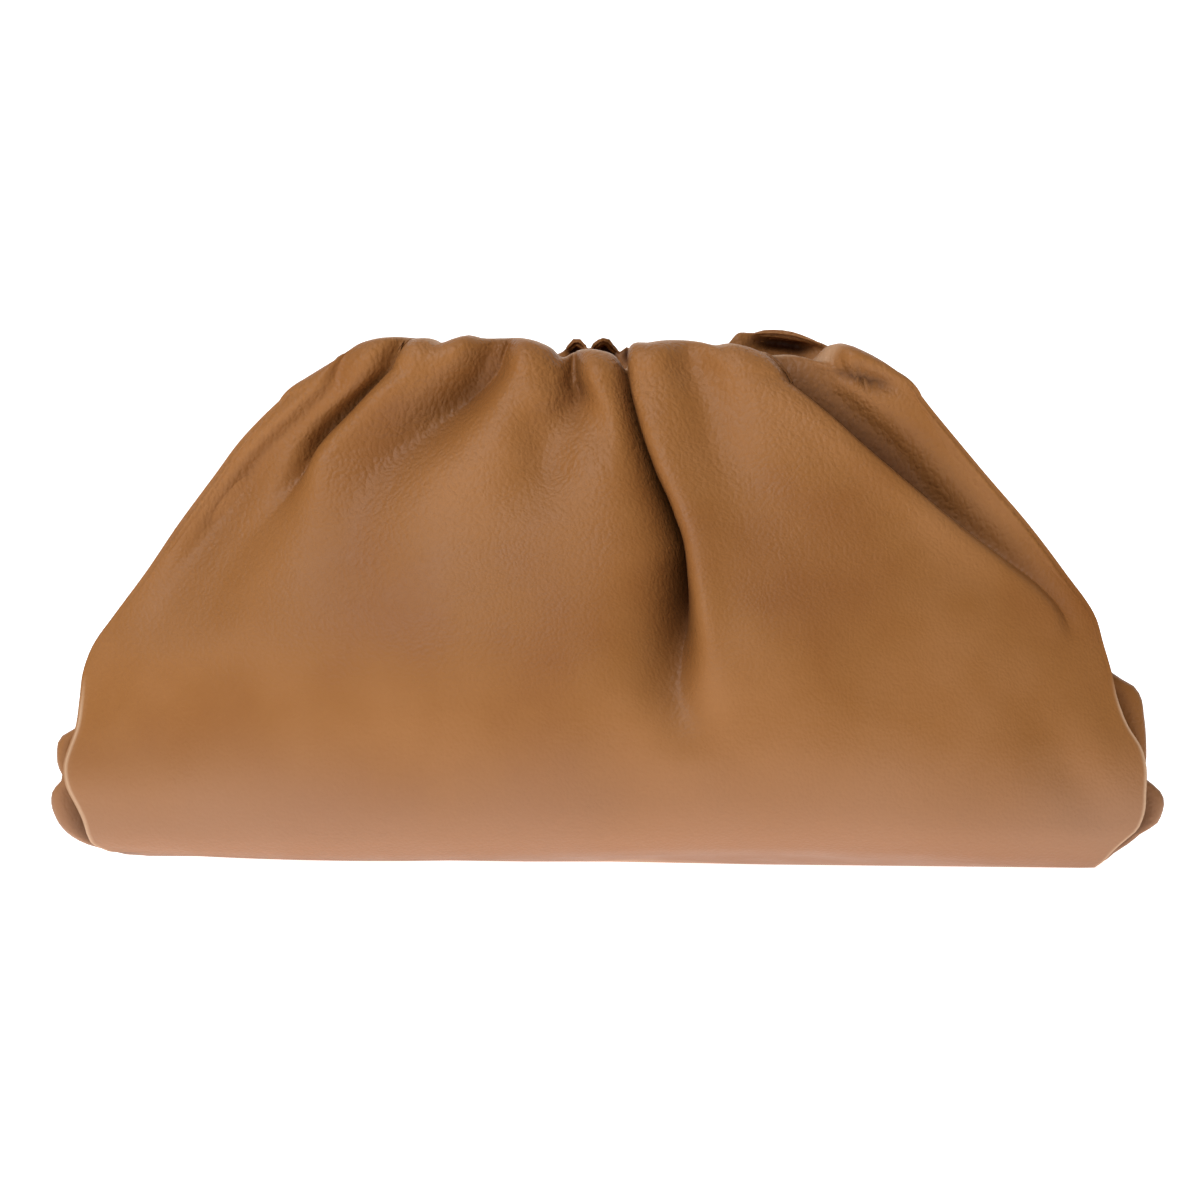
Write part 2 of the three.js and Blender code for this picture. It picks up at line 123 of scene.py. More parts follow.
# %% Folds of the front
# x and z follow the crease. left and right are the spread of its banks, lean moves the right bank to the
# left over the crease (or, where negative, the left bank to the right), and ridge rounds that bank up.
FOLD_NAMES = "x z depth left right lean ridge"
FRONT_FOLDS = {
    "outer_left": [
        (-92, 163, 0, 8, 9, 0, 0),
        (-104, 152, 2, 9, 11, 0, 0),
        (-116, 140, 6, 10, 9, 0, 0),
        (-125.5, 127, 10.5, 11, 10, 0, 0),
        (-134.5, 114, 10.5, 11, 11, 0, 0),
        (-143, 101, 6.5, 12, 13, 0, 0),
        (-149, 88, 3.5, 12, 16, 0, 0),
        (-152, 72, 0, 14, 18, 0, 0),
    ],
    "left_crease": [
        (-57.6, 180, 3, 4, 2, 2, 1),
        (-68.5, 173, 6, 4, 1.6, 3.4, 2),
        (-76.5, 165, 9, 4.2, 1.6, 4.6, 3),
        (-85, 156, 13, 5.6, 1.7, 5, 3),
        (-95.5, 145, 12, 6.4, 2, 4.4, 2.4),
        (-102.4, 134, 9, 7, 2.6, 3, 1.6),
        (-109.5, 124, 5, 8, 5, 0.8, 0.6),
        (-121, 110, 3, 9, 9, 0, 0),
        (-130, 93, 1.5, 10, 12, 0, 0),
        (-134, 76, 0, 12, 14, 0, 0),
    ],
    "left_valley": [
        (-32.5, 179, 6, 6, 2.6, 0.6, 0.6),
        (-39, 167, 11, 10, 4, 1, 0.8),
        (-48, 157, 12, 13, 5, 1, 0.8),
        (-59, 148, 10, 14, 7, 0.4, 0.4),
        (-71, 138, 6.5, 15, 11, 0, 0),
        (-80, 126, 3.5, 15, 14, 0, 0),
        (-87, 105, 1.5, 16, 14, 0, 0),
        (-90, 85, 0, 16, 16, 0, 0),
    ],
    "tuck": [
        (-17, 178, 9, 4, 3, 0.8, 0.5),
        (-12.8, 168.6, 12, 6, 3.2, 1.5, 1),
        (-9.6, 160.5, 12, 7, 4, 1, 1),
        (-13, 151, 6, 9, 7, 0, 0),
        (-21, 133, 3, 10, 10, 0, 0),
        (-26, 118, 0, 12, 12, 0, 0),
    ],
    "main_fold": [
        (7, 178, 10, 4, 2.2, 2, 0.5),
        (8.4, 165, 13, 3.4, 2, 3.5, 1),
        (12.8, 150, 17, 4.6, 2, 5, 2),
        (19.7, 133, 22, 6.6, 2, 6.5, 2.5),
        (26.5, 119, 26, 9, 2, 7.5, 3),
        (30.6, 107, 28, 11, 2, 7.5, 3),
        (30.5, 98, 28, 13, 2.4, 6.5, 2.5),
        (28, 86, 22, 14, 3.4, 3.5, 2),
        (24.5, 72, 14, 14, 6, 0.8, 1.4),
        (23, 60, 8, 13, 8, 0, 0.6),
        (25, 49, 3, 12, 9, 0, 0),
        (26, 38, 0, 12, 12, 0, 0),
    ],
    "soft_crinkle": [
        (22, 178, 2.5, 4, 5, 0, 0),
        (28, 168.6, 3.5, 5, 6, 0, 0),
        (33.5, 156.6, 2.5, 7, 9, 0, 0),
        (36, 146, 3, 9, 8, 0, 0),
        (42, 130, 1.5, 10, 10, 0, 0),
        (52, 106, 0, 12, 14, 0, 0),
    ],
    "flap": [
        (43, 179, 6, 1.8, 6, -1.5, 0),
        (49.5, 173, 12, 1.5, 8, -4, 0.5),
        (60.5, 165, 16, 1.5, 11, -5.5, 1),
        (71.3, 156, 18, 1.5, 14, -6.5, 1.2),
        (83, 145.4, 20, 1.5, 17, -7, 1.5),
        (100, 131, 20, 1.5, 17, -7, 1.5),
        (117, 117.3, 18, 1.5, 15, -6, 1.5),
        (134, 104.7, 14, 1.8, 12, -5, 1),
        (146.5, 95, 9, 2, 9, -3, 0.6),
        (154, 86, 6, 2.4, 8, -1.6, 0.4),
        (157, 77, 0, 5, 8, 0, 0),
    ],
}
print("front folds", list(FRONT_FOLDS))

# %% [markdown]
# ## The hidden back
# The photo doesn't show the back. It is the same leather gathered over the same frame, so it gets folds
# of the same kind in other places: two long ones, and shorter ones that fade above the belly.

# %% Folds of the back
# Seen from behind, so x is to the right of someone who stands behind the bag.
BACK_FOLDS = {
    "outer_left": [
        (-76, 178, 5, 8, 4, 1, 0),
        (-90, 155, 8, 11, 4, 2, 1),
        (-114, 125, 8, 13, 7, 1, 1),
        (-136, 85, 3, 15, 12, 0, 0),
        (-142, 55, 0, 16, 16, 0, 0),
    ],
    "left_valley": [
        (-46, 178, 6, 6, 6, 0, 0),
        (-56, 155, 9, 10, 9, 0, 0),
        (-72, 128, 5, 13, 12, 0, 0),
        (-82, 98, 0, 16, 16, 0, 0),
    ],
    "long_left": [
        (-20, 178, 7, 2.5, 5, -2, 1),
        (-25, 158, 10, 2.2, 9, -4, 2),
        (-36, 128, 13, 2.2, 13, -5, 3),
        (-45, 96, 12, 3, 15, -4, 2),
        (-48, 66, 5, 8, 15, 0, 1),
        (-48, 42, 0, 12, 15, 0, 0),
    ],
    "short": [
        (5, 178, 5, 5, 4, 0, 0),
        (5, 158, 6, 6, 6, 0, 0),
        (4, 136, 1.5, 9, 9, 0, 0),
        (4, 116, 0, 10, 10, 0, 0),
    ],
    "long_right": [
        (29, 178, 7, 5, 2.2, 2, 1),
        (37, 156, 10, 9, 2.2, 4, 2),
        (54, 126, 11, 13, 3, 4, 2),
        (66, 95, 6, 15, 8, 1, 1),
        (70, 64, 0, 16, 16, 0, 0),
    ],
    "right_valley": [
        (55, 178, 6, 5, 6, 0, 0),
        (66, 156, 8, 9, 9, 0, 0),
        (84, 126, 3, 12, 12, 0, 0),
        (94, 100, 0, 14, 14, 0, 0),
    ],
    "outer_right": [
        (79, 178, 5, 3, 7, -1, 0),
        (93, 155, 8, 4, 11, -2, 1),
        (117, 122, 6, 7, 12, 0, 0),
        (136, 84, 2, 12, 14, 0, 0),
        (141, 55, 0, 16, 16, 0, 0),
    ],
}
print("back folds", list(BACK_FOLDS))

# %% [markdown]
# ## Soft dents
# Between the folds the leather isn't even. It sinks in where nothing inside holds it out, and swells
# where the folds push it together. Each dent is a smooth hollow with a place, a depth, two half sizes and
# a slant.

# %% Dents of both panels
DENT_NAMES = "x z depth wide high slant"
FRONT_DENTS = columns_of(
    DENT_NAMES,
    [
        (37, 170, 3.2, 9, 2.6, 0),
        (2, 33, 2.4, 12, 22, -10),
        (159, 30, 3, 9, 26, 35),
        (-150, 40, 2, 12, 20, -20),
        (-24, 146, 2.5, 7, 14, 20),
        (-3, 148, 2.2, 5, 10, 5),
        (60, 75, -2.5, 30, 30, 0),
        (-60, 80, -2, 40, 28, 0),
        (95, 60, 1.5, 16, 30, 30),
    ],
)
BACK_DENTS = columns_of(
    DENT_NAMES,
    [
        (-110, 40, 3, 14, 22, 20),
        (20, 52, 2.5, 20, 24, 0),
        (128, 44, 3, 12, 24, -20),
        (-10, 90, -2, 30, 25, 0),
    ],
)
print("dents", len(FRONT_DENTS["x"]), "in front and", len(BACK_DENTS["x"]), "behind")

# %% [markdown]
# ## The gathered lip
# The lip isn't level. Each gather stands up as a small round cushion, and the creases between them are
# lower. Two short tables give the height of the lip along the front and along the back, where x is to the
# right of someone who stands on that side.

# %% Heights of the lip
LIP_NAMES = "x z"
FRONT_LIP = columns_of(
    LIP_NAMES,
    [
        (-93, 168.6), (-90, 173.4), (-86, 177.4), (-82, 179), (-76, 179.8), (-68, 179.4), (-61, 179),
        (-58, 177.6), (-55, 179), (-50.4, 180.4), (-45, 179.4), (-38, 179.4), (-30, 179.4), (-24, 178),
        (-19.5, 175.6), (-17, 173), (-13, 174.4), (-8, 175.6), (-2, 175.2), (3, 173), (6.2, 169),
        (9, 175.4), (16, 178), (25, 178.8), (33, 178), (37, 177), (42, 177.6), (47, 176.4), (51, 174.4),
        (64, 173.6), (72, 171.8), (75, 172.6), (77.5, 176), (80.5, 177.6), (86.4, 175.6), (90, 173),
        (93, 169.8),
    ],
)
BACK_LIP = columns_of(
    LIP_NAMES,
    [
        (-93, 166), (-88, 170), (-80, 174), (-77.8, 176.2), (-72, 179.2), (-69.3, 180.2),
        (-60.7, 181.6), (-52, 181.4), (-47, 181), (-44.6, 178.6), (-41, 175.6), (-28, 175.2),
        (-16, 174.6), (-11, 173.6), (-7.6, 176.8), (-4.6, 175), (0.7, 178.9), (7, 176.2), (11.5, 178.6),
        (16.5, 174.8), (24, 173.5), (35, 174.5), (46, 173.5), (53, 172), (64, 173.5), (74, 173),
        (84, 171), (93, 165),
    ],
)
print("lip from", FRONT_LIP["z"].min(), "to", BACK_LIP["z"].max(), "mm")

# %% [markdown]
# ## Rows and columns
# The skin is one grid. Its rows climb the wall in equal steps along the leather, go over the lip and down
# the hem inside. Its columns run down the folds, so a crease lies along an edge of the mesh and stays
# crisp, and they crowd together close to it.

# %% Mesh fineness
FRONT_STEP = 1.65
BACK_STEP = 2.8
END_STEPS = 34
WALL_ROWS = 80
ROLL_ROWS = 22
HEM_ROWS = 2
CROWDING = 0.8
FEWEST_STEPS = 6
FINE_STEPS = 600
SHOULDER_FROM = 0.72
ROLL_RISE = 10.5
print("rows", WALL_ROWS + ROLL_ROWS + HEM_ROWS)


# %% Heights of the rows
def wall_heights():
    """Heights of the wall's rows, an equal step along the middle of the front from one to the next."""
    z = np.linspace(0, WALL_TOP, FINE_STEPS)
    steps = np.hypot(np.diff(z), np.diff(section("depth", z)))
    along = np.concatenate([[0], np.cumsum(steps)])
    return np.interp(np.linspace(0, along[-1], WALL_ROWS + 1), along, z)


HEIGHTS = wall_heights()[:, None]


def wall_rows(lip_z):
    """Height of every row in columns whose lip is lip_z high. Only the shoulder's rows follow the lip."""
    share = np.clip((HEIGHTS / WALL_TOP - SHOULDER_FROM) / (1 - SHOULDER_FROM), 0, 1)
    return HEIGHTS + (lip_z[None, :] - ROLL_RISE - WALL_TOP) * share**2 * (3 - 2 * share)


print("wall rows", len(HEIGHTS))

# %% [markdown]
# ## Columns that follow the folds
# A place across a panel runs from -1 at its left edge to 1 at its right edge. Each crease has such a place
# at every height, and the columns between two creases share out the gap between them. So they run down with
# the creases and never cross one.

# %% Places of the columns
def fold_columns(rows):
    """A fold's table with its heights rising."""
    return columns_of(FOLD_NAMES, sorted(rows, key=lambda row: row[1]))


def half_width(sides, x, z):
    """How far the panel's edge is from the middle at height z, on the side that x is on."""
    return np.where(x < 0, section(sides[0], z), section(sides[1], z))


def place_of(fold, sides, z):
    """A crease's place across the panel. Below its tail it runs on at the same place."""
    x = smooth(fold["z"], fold["x"], z)
    tail = fold["x"][0] / half_width(sides, fold["x"][0], fold["z"][0])
    return np.where(z < fold["z"][0], tail, x / half_width(sides, x, z))


def stops_of(folds, sides, z):
    """Places of the left edge, of each crease and of the right edge."""
    return [-np.ones_like(z), *[place_of(fold, sides, z) for fold in folds], np.ones_like(z)]


def crowded(widest, step):
    """Shares from 0 to 1 that crowd towards both ends, as many as the widest gap needs."""
    steps = max(FEWEST_STEPS, round(widest / step))
    t = np.arange(steps) / steps
    return t - CROWDING * np.sin(2 * math.pi * t) / (2 * math.pi)


def share_columns(folds, sides, step):
    """For each column, the gap between two stops that it runs in, and its share of the way across."""
    stops = stops_of(folds, sides, HEIGHTS)
    width = section(sides[0], HEIGHTS) + section(sides[1], HEIGHTS)
    shares = [crowded(float(((b - a) * width / 2).max()), step) for a, b in zip(stops, stops[1:])]
    gaps = [np.full(len(share), i) for i, share in enumerate(shares)]
    return np.concatenate(gaps), np.concatenate(shares)


def column_places(folds, sides, gap, within, z):
    """Place of every column at every height of z."""
    shape = (len(z), len(within))
    ends = np.array([np.broadcast_to(stop, shape) for stop in stops_of(folds, sides, z)])
    row, column = np.indices(shape)
    start = ends[gap[column], row, column]
    stop = ends[gap[column] + 1, row, column]
    return start + (stop - start) * within


print("columns follow", len(FRONT_FOLDS), "folds in front and", len(BACK_FOLDS), "behind")

# %% [markdown]
# ## One panel
# A panel bulges between its two edges like a pillow, and swells a little between two folds near the lip.
# Then each fold pushes the leather in along its crease, leans its steep bank over and rounds that bank
# up. It also leaves two values behind for later: the shade that gathers in the crease, and how tightly it
# pinches the leather.

# %% What one fold does
OVERHANG_REACH = 3.4
RIDGE_REACH = 5.5
STEEP_SHARE = 0.6
BANK_POWER = 2.2
SOFT_POWER = 2.1
CRISP_LOSS = 0.8
SHADE_REACH = 0.75
DARK_DEPTH = 25
PINCH_DEPTH = 8
PINCH_REACH, PINCH_MARGIN = 1.2, 3


def fold_effect(fold, sides, across, z, keep):
    """Move outwards, move to the right, shade and pinch that one fold gives to every point."""
    place = place_of(fold, sides, z)
    slope = (smooth(fold["z"], fold["x"], z + 1) - smooth(fold["z"], fold["x"], z - 1)) / 2
    upright = 1 / np.sqrt(1 + slope**2)
    s = (across - place * half_width(sides, place, z)) * upright
    value = {name: smooth(fold["z"], fold[name], z) for name in FOLD_NAMES.split()}
    live = z >= fold["z"][0]
    deep = np.maximum(value["depth"], 0) * live * keep
    lean = value["lean"] * live

    spread = np.where(s < 0, value["left"], value["right"])
    steep = spread < STEEP_SHARE * np.maximum(value["left"], value["right"])
    crisp = np.abs(value["lean"]) / (np.abs(value["lean"]) + 1)
    power = np.where(steep, BANK_POWER, SOFT_POWER - CRISP_LOSS * crisp)
    hollow = np.exp(-((np.abs(s) / spread) ** power))

    reach = np.abs(s) / OVERHANG_REACH
    overhang = np.where(s * np.sign(lean) > 0, lean * reach * np.exp(1 - reach), 0) * upright
    side = np.where(lean == 0, 1, np.sign(lean))
    along = (s / RIDGE_REACH) ** 2
    rounded = value["ridge"] * live * np.where(s * side > 0, along * np.exp(1 - along), 0)

    shade = np.clip(deep / DARK_DEPTH, 0, 1) * np.exp(-((s / (SHADE_REACH * spread + 1)) ** 2))
    near = np.exp(-((s / (PINCH_REACH * spread + PINCH_MARGIN)) ** 2))
    pinch = np.clip(deep / PINCH_DEPTH, 0, 1) * near
    return rounded * keep - deep * hollow, -overhang, shade, pinch


def turned(x, z, degrees):
    """x and z measured along and across a line that rises by so many degrees."""
    turn = math.radians(degrees)
    return x * math.cos(turn) + z * math.sin(turn), z * math.cos(turn) - x * math.sin(turn)


def dent_depths(dents, x, z):
    """How deep a panel's dents are at every point."""
    deep = np.zeros_like(x)
    for dent_x, dent_z, depth, wide, high, slant in zip(*dents.values()):
        along, off = turned(x - dent_x, z - dent_z, slant)
        deep += depth * np.exp(-((along / wide) ** 2) - (off / high) ** 2)
    return deep


print("overhangs reach", OVERHANG_REACH, "mm and creases are darkest from", DARK_DEPTH, "mm deep")

# %% The shape of a panel
PUFF = columns_of("z rise", [(0, 0), (70, 0), (110, 0.8), (150, 2.4), (168, 3.2)])
SWELL_POWER = 2.3
EDGE_POWER = 9
LIP_HALF_LENGTH = 93
FRAME_ROOM = 13.4


def panel(folds, dents, sides, depth, lip, step):
    """A panel's points with their shade and pinch, and the places and the lip's heights along its top."""
    tables = [fold_columns(rows) for rows in folds.values()]
    gap, within = share_columns(tables, sides, step)
    top = column_places(tables, sides, gap, within, np.full((1, 1), float(WALL_TOP)))[0]
    lip_z = smooth(lip["x"], lip["z"], top * LIP_HALF_LENGTH)
    z = wall_rows(lip_z)
    place = column_places(tables, sides, gap, within, z)
    across = place * half_width(sides, place, z)
    edge_depth = section("edge_depth", z)
    out = edge_depth + (section(depth, z) - edge_depth) * (1 - np.abs(place) ** SWELL_POWER)
    out = out + smooth(PUFF["z"], PUFF["rise"], z) * np.sin(math.pi * within) ** 2
    keep = 1 - np.abs(place) ** EDGE_POWER
    x = across
    shade = np.zeros_like(across)
    pinch = np.zeros_like(across)
    for fold in tables:
        outwards, rightwards, dark, tight = fold_effect(fold, sides, across, z, keep)
        out = out + outwards
        x = x + rightwards
        shade = np.maximum(shade, dark)
        pinch = np.maximum(pinch, tight)
    out = np.maximum(out - keep * dent_depths(dents, across, z), FRAME_ROOM)
    return {"x": x, "out": out, "z": z, "shade": shade, "pinch": pinch, "top": top, "lip": lip_z}


front = panel(FRONT_FOLDS, FRONT_DENTS, ("left", "right"), "depth", FRONT_LIP, FRONT_STEP)
back = panel(BACK_FOLDS, BACK_DENTS, ("back_right", "back_left"), "back_depth", BACK_LIP, BACK_STEP)
front_columns = front["x"].shape[1]
back_columns = back["x"].shape[1]
loop_columns = front_columns + back_columns + 2 * END_STEPS
in_front = slice(0, front_columns)
behind = slice(front_columns + END_STEPS, front_columns + END_STEPS + back_columns)
print("front panel", front["x"].shape, "back panel", back["x"].shape)

# %% [markdown]
# ## The ends
# Between the panels each end folds in like a paper bag's gusset, deepest at mid height. Low down it turns
# out again, and the slack leather hangs there in two soft lobes, one above the other, that show past the
# front panel's edge. A groove just behind that edge sets it off as a crisp line.

# %% Lobes and groove
# x is how far the two lobes reach at each height. Between them, and above, they lie within the panels'
# edges.
LOBE_NAMES = "z x"
LEFT_LOBES = columns_of(
    LOBE_NAMES,
    [
        (0, 165), (3, 177.4), (5.5, 182.1), (8.8, 185.5), (13.7, 188.1), (19.3, 189.4), (25, 188.1),
        (27.3, 186.1), (29, 185.3), (31, 186.1), (33.3, 187), (38.2, 187.4), (42.4, 186.8), (45, 184.6),
        (46.6, 181.5), (50, 175), (60, 160), (168, 60),
    ],
)
RIGHT_LOBES = columns_of(
    LOBE_NAMES,
    [
        (0, 165), (1, 168), (4.4, 172.7), (7.8, 177.8), (11.2, 181.9), (13.5, 186), (18, 188.7),
        (21.4, 189.4), (24.8, 188.4), (27.1, 186.3), (29.2, 183.2), (36, 183.3), (42.4, 183.3),
        (50.9, 182.6), (58.1, 181.2), (60.8, 179.5), (62.8, 176), (65.5, 172), (70, 164), (76, 155),
        (168, 60),
    ],
)
LOBE_PLACE, LOBE_SPREAD = 0.34, 0.19
GROOVE = columns_of(
    "z depth back",
    [(0, 3, 3), (6, 7, 6), (60, 8, 7), (80, 3, 2), (100, 2, 0), (168, 0, 0)],
)
GROOVE_PLACE, GROOVE_SPREAD = 0.12, 0.065
GROOVE_LIT_ABOVE, GROOVE_FADE = 80, 40
print("lobes reach", LEFT_LOBES["x"].max(), "and", RIGHT_LOBES["x"].max(), "mm")

# %% The shape of the ends
END_CROWDING = 1.35
END_SAG = 3


def ease(a, b, t):
    """Values from a to b that start and stop level."""
    return a + (b - a) * (3 * t**2 - 2 * t**3)


def end(sign, start, stop, lobes, lip_from, lip_to):
    """The points and shade of one end, from the edge of the panel named start to that named stop."""
    t = np.arange(END_STEPS) / END_STEPS
    lip_z = ease(lip_from, lip_to, t) - END_SAG * np.sin(math.pi * t)
    z = wall_rows(lip_z)
    along = t[None, :] ** END_CROWDING if sign > 0 else 1 - (1 - t[None, :]) ** END_CROWDING
    from_front = along if sign > 0 else 1 - along
    x = section(start, z) + (section(stop, z) - section(start, z)) * along
    y = section("edge_depth", z) * (2 * along - 1) * sign
    x = x - section("infold", z) * (1 - (2 * from_front - 1) ** 2)
    groove = np.exp(-(((from_front - GROOVE_PLACE) / GROOVE_SPREAD) ** 2))
    x = x - smooth(GROOVE["z"], GROOVE["depth"], z) * groove
    y = y + smooth(GROOVE["z"], GROOVE["back"], z) * groove
    short = np.maximum(smooth(lobes["z"], lobes["x"], z) - x, 0)
    near = np.exp(-(((from_front - LOBE_PLACE) / LOBE_SPREAD) ** 4))
    shade = groove * np.clip((GROOVE_LIT_ABOVE - z) / GROOVE_FADE, 0, 1)
    return {"x": sign * (x + short * near), "y": y, "z": z, "lip": lip_z, "shade": shade}


right_end = end(1, "right", "back_right", RIGHT_LOBES, front["lip"][-1], back["lip"][0])
left_end = end(-1, "back_left", "left", LEFT_LOBES, back["lip"][-1], front["lip"][0])
print("ends", right_end["x"].shape, "columns wide")

# %% [markdown]
# ## The whole wall
# The front, the right end, the back and the left end make one loop that runs against the clock when seen
# from above. The bag doesn't stand flat to its very edge: its left corner is lifted, and the front's lower
# edge curves up a little in the middle.

# %% Join the loop and lift the lower edge
LIFT = columns_of(
    "x rise",
    [
        (-190, 7.5), (-165, 5.6), (-130, 4), (-90, 3.2), (-30, 4), (10, 5.2), (60, 5.4), (90, 4),
        (135, 1.2), (160, 0),
    ],
)
LIFT_HEIGHT = 45
LIFT_POWER = 1.5
LIFT_BEHIND = 0.3
LIFT_TURN = 60


def loop(front_part, right_part, back_part, left_part):
    return np.concatenate([front_part, right_part, back_part, left_part], axis=-1)


wall_x = loop(front["x"], right_end["x"], -back["x"], left_end["x"])
wall_y = loop(-front["out"], right_end["y"], back["out"], left_end["y"])
wall_z = loop(front["z"], right_end["z"], back["z"], left_end["z"])
lip_z = loop(front["lip"], right_end["lip"], back["lip"], left_end["lip"])
rise = smooth(LIFT["x"], LIFT["rise"], wall_x) * np.clip(0.5 - wall_y / LIFT_TURN, LIFT_BEHIND, 1)
wall_z = wall_z + rise * np.clip(1 - wall_z / LIFT_HEIGHT, 0, 1) ** LIFT_POWER
wall = np.stack([wall_x, wall_y, wall_z], axis=2)
lowest = wall_z[0]
print("wall", wall.shape, "lower edge", round(float(lowest.min()), 1), "to", round(float(lowest.max()), 1))

# %% [markdown]
# ## Over the lip and down the hem
# At the top of the wall the leather turns over the frame. Each column follows a curve that leaves the
# wall in the wall's own direction, rises to the height that the lip has there and comes down as a flat
# hem.

# %% The lip and the hem
MOUTH_HALF_LENGTH = 83
MOUTH_HALF_GAP = 5
HEM_FOOT = 150
LEAVING = 20
LEAVING_ROWS = 3
LEAVING_BLEND = 9
ARRIVING = 16
LIFT_PASSES = 4
ALONG_ROLL = np.linspace(0, 1, ROLL_ROWS + 1)[1:, None]


def hem_loop():
    """x and y of the flat hem, column by column with the wall."""
    t = np.arange(END_STEPS) / END_STEPS
    side = np.full(END_STEPS, MOUTH_HALF_LENGTH)
    across = MOUTH_HALF_GAP * (2 * t - 1)
    ahead = np.full(front_columns, -MOUTH_HALF_GAP)
    far = np.full(back_columns, MOUTH_HALF_GAP)
    x = loop(front["top"] * MOUTH_HALF_LENGTH, side, -back["top"] * MOUTH_HALF_LENGTH, -side)
    return x, loop(ahead, across, far, -across)


def roll_over(wall, hem, heights):
    """The rows over the lip: curves from the wall's last row to the hem, lifted to the lip's heights."""
    leave = wall[-1] - wall[-1 - LEAVING_ROWS]
    leave = sum(np.roll(leave, step, axis=0) for step in range(-LEAVING_BLEND, LEAVING_BLEND + 1))
    leave = leave / np.linalg.norm(leave, axis=1, keepdims=True) * LEAVING
    arrive = np.array([0, 0, -ARRIVING])
    u = ALONG_ROLL[:, :, None]
    curve = (
        (2 * u**3 - 3 * u**2 + 1) * wall[-1]
        + (u**3 - 2 * u**2 + u) * leave
        + (3 * u**2 - 2 * u**3) * hem
        + (u**3 - u**2) * arrive
    )
    for lift_pass in range(LIFT_PASSES):
        lift = heights - curve[:, :, 2].max(axis=0)
        curve[:, :, 2] += lift * np.sin(math.pi * ALONG_ROLL)
    return curve


hem_x, hem_y = hem_loop()
hem_top = np.stack([hem_x, hem_y, (lip_z - ROLL_RISE + WALL_TOP) / 2], axis=1)
roll = roll_over(wall, hem_top, lip_z)
hem_foot = hem_top.copy()
hem_foot[:, 2] = HEM_FOOT
hem = hem_top + (hem_foot - hem_top) * np.linspace(0, 1, HEM_ROWS + 1)[1:, None, None]
print("roll", roll.shape, "top", round(float(roll[:, :, 2].max()), 1), "mm")

# %% [markdown]
# ## Tunnels, cushions and a crease in the lip
# The gathered lip isn't a plain tube. Behind, small loops of leather curl forward over dark tunnels, a
# wide one on the right and three narrow ones in the middle. In front, some gathers are plumped up like
# cushions, and a short crease runs under the last of them, across the right shoulder.

# %% Shape the lip
# In TUNNELS and CUSHIONS x is the place in the bag's own X, and half is half their width.
TUNNELS = columns_of(
    "x half depth curl",
    [(62.5, 11, 9, 4), (-11.5, 3.4, 6, 2.2), (-0.7, 4.6, 6, 2.4), (7.4, 2.4, 4, 1.4)],
)
CURL_PLACE, CURL_SPREAD = 0.5, 0.14
CUSHIONS = columns_of("x half forward", [(86, 8, 3), (20, 9, 1.5), (-47, 8, 1.5), (-72, 8, 1)])
CUSHION_PLACE, CUSHION_SPREAD = 0.24, 0.14
SHOULDER_POWER = 1.6
SHOULDER_CREASE = {"x": 86.5, "z": 165.6, "depth": 4.6, "half": 11, "high": 2.4, "slant": -16}


def open_tunnels(curve):
    """Curls the back lip over each tunnel and hollows the mouth side out below it. Returns the shade."""
    curl = np.exp(-(((ALONG_ROLL - CURL_PLACE) / CURL_SPREAD) ** 2))
    under = np.sin(math.pi * np.clip((ALONG_ROLL - CURL_PLACE) / (1 - CURL_PLACE), 0, 1)) ** 2
    x = curve[ROLL_ROWS // 2, behind, 0]
    shade = np.zeros(curve.shape[:2])
    for place, half, depth, forward in zip(*TUNNELS.values()):
        weight = np.exp(-(((x - place) / half) ** 4))
        curve[:, behind, 1] += weight * (depth * under - forward * curl)
        shade[:, behind] = np.maximum(shade[:, behind], weight * under)
    return shade


def plump_cushions(curve):
    """Pushes the front of the lip forward at each cushion."""
    plump = np.exp(-(((ALONG_ROLL - CUSHION_PLACE) / CUSHION_SPREAD) ** 2))
    x = curve[0, in_front, 0]
    for place, half, forward in zip(*CUSHIONS.values()):
        curve[:, in_front, 1] -= forward * np.exp(-(((x - place) / half) ** 2)) * plump


def press_crease(points, crease):
    """Presses a short crease across the front's shoulder. Returns its shade."""
    x, z = points[:, in_front, 0], points[:, in_front, 2]
    along, off = turned(x - crease["x"], z - crease["z"], crease["slant"])
    hollow = np.exp(-((along / crease["half"]) ** 4) - np.abs(off / crease["high"]) ** SHOULDER_POWER)
    hollow[WALL_ROWS + ROLL_ROWS // 2 :] = 0
    points[:, in_front, 1] += crease["depth"] * hollow
    return hollow


tunnel_shade = open_tunnels(roll)
plump_cushions(roll)
below_top = roll[:, :, 2].max(axis=0) - roll[:, :, 2]
skin = np.concatenate([wall, roll, hem])
shoulder_shade = press_crease(skin, SHOULDER_CREASE)
print("tunnels", len(TUNNELS["x"]), "cushions", len(CUSHIONS["x"]))

# %% [markdown]
# ## From grid to bag
# A flat grid with the same number of columns and rows is added with the mesh tools and each of its points
# is moved to its place on the skin. Its last column repeats the first one, so that the loop can be
# closed.

# %% Lay the grid on the skin
def deselect_all():
    for item in bpy.context.selected_objects:
        item.select_set(False)


def per_point(rows):
    """The values of the grid's points, with the first column again at the end."""
    return np.concatenate([rows, rows[:, :1]], axis=1).ravel()


def make_skin(points):
    deselect_all()
    bpy.ops.mesh.primitive_grid_add(x_subdivisions=loop_columns, y_subdivisions=len(points) - 1, size=1)
    bag = bpy.context.active_object
    bag.name = "leather_bag"
    closed = np.stack([per_point(points[:, :, axis]) for axis in range(3)], axis=1)
    bag.data.vertices.foreach_set("co", (closed * MM).ravel())
    bag.data.update()
    return bag


bag = make_skin(skin)
print("grid", len(bag.data.vertices), "points")

